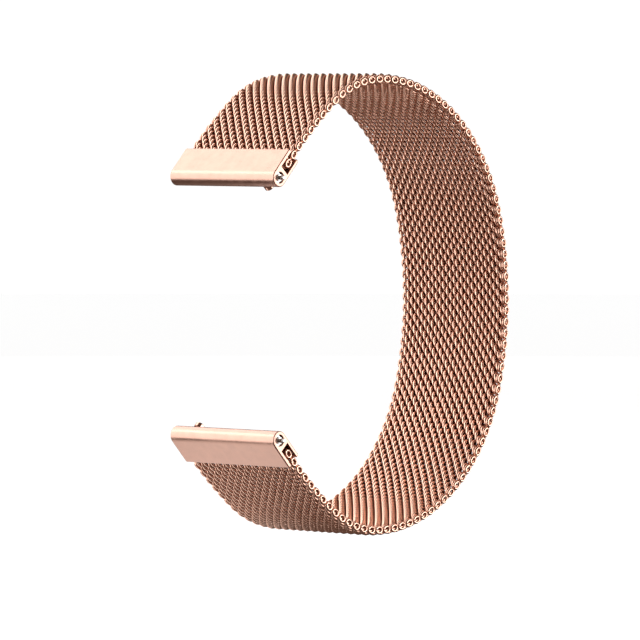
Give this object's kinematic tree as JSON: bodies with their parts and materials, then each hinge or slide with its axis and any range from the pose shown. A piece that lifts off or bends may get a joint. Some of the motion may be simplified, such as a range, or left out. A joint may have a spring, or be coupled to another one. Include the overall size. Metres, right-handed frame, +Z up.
{
  "type": "woven wire mesh watch band",
  "caption": "Watch band of woven wire mesh in an open C, with an end sleeve and a quick-release spring bar at each end.",
  "frame": {"origin": "centre of the upper spring bar, midway between its tips", "axes": "+X across the band along the spring bars, -Y the way the watch faces, +Z up from the lower spring bar to the upper one"},
  "size_m": [0.0238, 0.0566, 0.0725],
  "materials": {
    "mesh_wire": "rose gold plated wire",
    "sleeve_steel": "satin rose gold plating",
    "knob_steel": "polished rose gold plating",
    "bar_steel": "bright turned steel",
    "spring_steel": "drawn spring wire"
  },
  "bodies": {
    "upper_end": {"upper_end_sleeve": "sleeve_steel", "upper_bar_tube": "bar_steel", "upper_bar_spring": "spring_steel", "upper_mesh_end": "mesh_wire", "mesh_panel_01": "mesh_wire"},
    "upper_plain_tip": {"upper_plain_plunger": "bar_steel"},
    "upper_release_tip": {"upper_release_plunger": "bar_steel", "upper_release_knob": "knob_steel"},
    "mesh_02": {"mesh_panel_02": "mesh_wire"},
    "mesh_03": {"mesh_panel_03": "mesh_wire"},
    "mesh_04": {"mesh_panel_04": "mesh_wire"},
    "mesh_05": {"mesh_panel_05": "mesh_wire"},
    "mesh_06": {"mesh_panel_06": "mesh_wire"},
    "mesh_07": {"mesh_panel_07": "mesh_wire"},
    "mesh_08": {"mesh_panel_08": "mesh_wire"},
    "mesh_09": {"mesh_panel_09": "mesh_wire"},
    "mesh_10": {"mesh_panel_10": "mesh_wire"},
    "mesh_11": {"mesh_panel_11": "mesh_wire"},
    "mesh_12": {"mesh_panel_12": "mesh_wire"},
    "mesh_13": {"mesh_panel_13": "mesh_wire"},
    "mesh_14": {"mesh_panel_14": "mesh_wire"},
    "mesh_15": {"mesh_panel_15": "mesh_wire"},
    "mesh_16": {"mesh_panel_16": "mesh_wire"},
    "mesh_17": {"mesh_panel_17": "mesh_wire"},
    "mesh_18": {"mesh_panel_18": "mesh_wire"},
    "mesh_19": {"mesh_panel_19": "mesh_wire"},
    "mesh_20": {"mesh_panel_20": "mesh_wire"},
    "mesh_21": {"mesh_panel_21": "mesh_wire"},
    "mesh_22": {"mesh_panel_22": "mesh_wire"},
    "mesh_23": {"mesh_panel_23": "mesh_wire"},
    "lower_end": {"mesh_panel_24": "mesh_wire", "lower_mesh_end": "mesh_wire", "lower_end_sleeve": "sleeve_steel", "lower_bar_tube": "bar_steel", "lower_bar_spring": "spring_steel"},
    "lower_plain_tip": {"lower_plain_plunger": "bar_steel"},
    "lower_release_tip": {"lower_release_plunger": "bar_steel", "lower_release_knob": "knob_steel"}
  },
  "joints": [
    {"name": "upper_flex", "type": "hinge", "parent": "upper_end", "child": "mesh_02", "pos_m": [0, 0.00768, 0.00759], "axis": [1, 0, 0], "range_deg": [-0.85, 4.75]},
    {"name": "upper_row_03", "type": "hinge", "parent": "mesh_02", "child": "mesh_03", "pos_m": [0, 0.01239, 0.01139], "axis": [1, 0, 0], "range_deg": [-1.95, 10.76]},
    {"name": "upper_row_04", "type": "hinge", "parent": "mesh_03", "child": "mesh_04", "pos_m": [0, 0.01724, 0.01398], "axis": [1, 0, 0], "range_deg": [-3.02, 16.76]},
    {"name": "upper_row_05", "type": "hinge", "parent": "mesh_04", "child": "mesh_05", "pos_m": [0, 0.02264, 0.01507], "axis": [1, 0, 0], "range_deg": [-2.67, 14.8]},
    {"name": "upper_row_06", "type": "hinge", "parent": "mesh_05", "child": "mesh_06", "pos_m": [0, 0.02916, 0.01468], "axis": [1, 0, 0], "range_deg": [-2.32, 12.84]},
    {"name": "upper_row_07", "type": "hinge", "parent": "mesh_06", "child": "mesh_07", "pos_m": [0, 0.03542, 0.01285], "axis": [1, 0, 0], "range_deg": [-2.32, 12.84]},
    {"name": "upper_row_08", "type": "hinge", "parent": "mesh_07", "child": "mesh_08", "pos_m": [0, 0.04113, 0.00968], "axis": [1, 0, 0], "range_deg": [-2.32, 12.84]},
    {"name": "upper_row_09", "type": "hinge", "parent": "mesh_08", "child": "mesh_09", "pos_m": [0, 0.04598, 0.00532], "axis": [1, 0, 0], "range_deg": [-2.32, 12.84]},
    {"name": "back_flex", "type": "hinge", "parent": "mesh_09", "child": "mesh_10", "pos_m": [0, 0.04975, -0.00001], "axis": [1, 0, 0], "range_deg": [-2.31, 12.83]},
    {"name": "back_row_11", "type": "hinge", "parent": "mesh_10", "child": "mesh_11", "pos_m": [0, 0.05224, -0.00604], "axis": [1, 0, 0], "range_deg": [-1.89, 10.43]},
    {"name": "back_row_12", "type": "hinge", "parent": "mesh_11", "child": "mesh_12", "pos_m": [0, 0.05373, -0.01303], "axis": [1, 0, 0], "range_deg": [-1.45, 8.01]},
    {"name": "back_row_13", "type": "hinge", "parent": "mesh_12", "child": "mesh_13", "pos_m": [0, 0.05422, -0.02015], "axis": [1, 0, 0], "range_deg": [-1.45, 8.01]},
    {"name": "back_row_14", "type": "hinge", "parent": "mesh_13", "child": "mesh_14", "pos_m": [0, 0.05373, -0.02728], "axis": [1, 0, 0], "range_deg": [-1.45, 8.01]},
    {"name": "back_row_15", "type": "hinge", "parent": "mesh_14", "child": "mesh_15", "pos_m": [0, 0.05224, -0.03427], "axis": [1, 0, 0], "range_deg": [-1.89, 10.43]},
    {"name": "back_row_16", "type": "hinge", "parent": "mesh_15", "child": "mesh_16", "pos_m": [0, 0.04975, -0.0403], "axis": [1, 0, 0], "range_deg": [-2.32, 12.84]},
    {"name": "lower_flex", "type": "hinge", "parent": "mesh_16", "child": "mesh_17", "pos_m": [0, 0.04598, -0.04563], "axis": [1, 0, 0], "range_deg": [-2.31, 12.83]},
    {"name": "lower_row_18", "type": "hinge", "parent": "mesh_17", "child": "mesh_18", "pos_m": [0, 0.04113, -0.04999], "axis": [1, 0, 0], "range_deg": [-2.32, 12.84]},
    {"name": "lower_row_19", "type": "hinge", "parent": "mesh_18", "child": "mesh_19", "pos_m": [0, 0.03542, -0.05316], "axis": [1, 0, 0], "range_deg": [-2.32, 12.84]},
    {"name": "lower_row_20", "type": "hinge", "parent": "mesh_19", "child": "mesh_20", "pos_m": [0, 0.02916, -0.05499], "axis": [1, 0, 0], "range_deg": [-2.32, 12.84]},
    {"name": "lower_row_21", "type": "hinge", "parent": "mesh_20", "child": "mesh_21", "pos_m": [0, 0.02264, -0.05538], "axis": [1, 0, 0], "range_deg": [-2.67, 14.8]},
    {"name": "lower_row_22", "type": "hinge", "parent": "mesh_21", "child": "mesh_22", "pos_m": [0, 0.01724, -0.05429], "axis": [1, 0, 0], "range_deg": [-3.02, 16.76]},
    {"name": "lower_row_23", "type": "hinge", "parent": "mesh_22", "child": "mesh_23", "pos_m": [0, 0.01239, -0.0517], "axis": [1, 0, 0], "range_deg": [-1.95, 10.76]},
    {"name": "lower_row_24", "type": "hinge", "parent": "mesh_23", "child": "lower_end", "pos_m": [0, 0.00768, -0.0479], "axis": [1, 0, 0], "range_deg": [-0.86, 4.76]},
    {"name": "upper_plain_slide", "type": "slide", "parent": "upper_end", "child": "upper_plain_tip", "axis": [1, 0, 0], "range_m": [0, 0.0013], "stiffness_N_per_m": 300, "springref_m": -0.003, "deforming": ["upper_bar_spring"]},
    {"name": "upper_release_slide", "type": "slide", "parent": "upper_end", "child": "upper_release_tip", "axis": [-1, 0, 0], "range_m": [0, 0.0013], "stiffness_N_per_m": 300, "springref_m": -0.003, "deforming": ["upper_bar_spring"]},
    {"name": "lower_plain_slide", "type": "slide", "parent": "lower_end", "child": "lower_plain_tip", "axis": [-1, 0, 0], "range_m": [0, 0.0013], "stiffness_N_per_m": 300, "springref_m": -0.003, "deforming": ["lower_bar_spring"]},
    {"name": "lower_release_slide", "type": "slide", "parent": "lower_end", "child": "lower_release_tip", "axis": [1, 0, 0], "range_m": [0, 0.0013], "stiffness_N_per_m": 300, "springref_m": -0.003, "deforming": ["lower_bar_spring"]}
  ],
  "couplings": [
    {"joint": "upper_row_03", "follows": "upper_flex", "ratio": 2.2632},
    {"joint": "upper_row_04", "follows": "upper_flex", "ratio": 3.5263},
    {"joint": "upper_row_05", "follows": "upper_flex", "ratio": 3.114},
    {"joint": "upper_row_06", "follows": "upper_flex", "ratio": 2.7018},
    {"joint": "upper_row_07", "follows": "upper_flex", "ratio": 2.7018},
    {"joint": "upper_row_08", "follows": "upper_flex", "ratio": 2.7018},
    {"joint": "upper_row_09", "follows": "upper_flex", "ratio": 2.7018},
    {"joint": "back_row_11", "follows": "back_flex", "ratio": 0.81169},
    {"joint": "back_row_12", "follows": "back_flex", "ratio": 0.62338},
    {"joint": "back_row_13", "follows": "back_flex", "ratio": 0.62338},
    {"joint": "back_row_14", "follows": "back_flex", "ratio": 0.62338},
    {"joint": "back_row_15", "follows": "back_flex", "ratio": 0.81169},
    {"joint": "back_row_16", "follows": "back_flex", "ratio": 1},
    {"joint": "lower_row_18", "follows": "lower_flex", "ratio": 1},
    {"joint": "lower_row_19", "follows": "lower_flex", "ratio": 1},
    {"joint": "lower_row_20", "follows": "lower_flex", "ratio": 1},
    {"joint": "lower_row_21", "follows": "lower_flex", "ratio": 1.1526},
    {"joint": "lower_row_22", "follows": "lower_flex", "ratio": 1.3052},
    {"joint": "lower_row_23", "follows": "lower_flex", "ratio": 0.83766},
    {"joint": "lower_row_24", "follows": "lower_flex", "ratio": 0.37013}
  ]
}
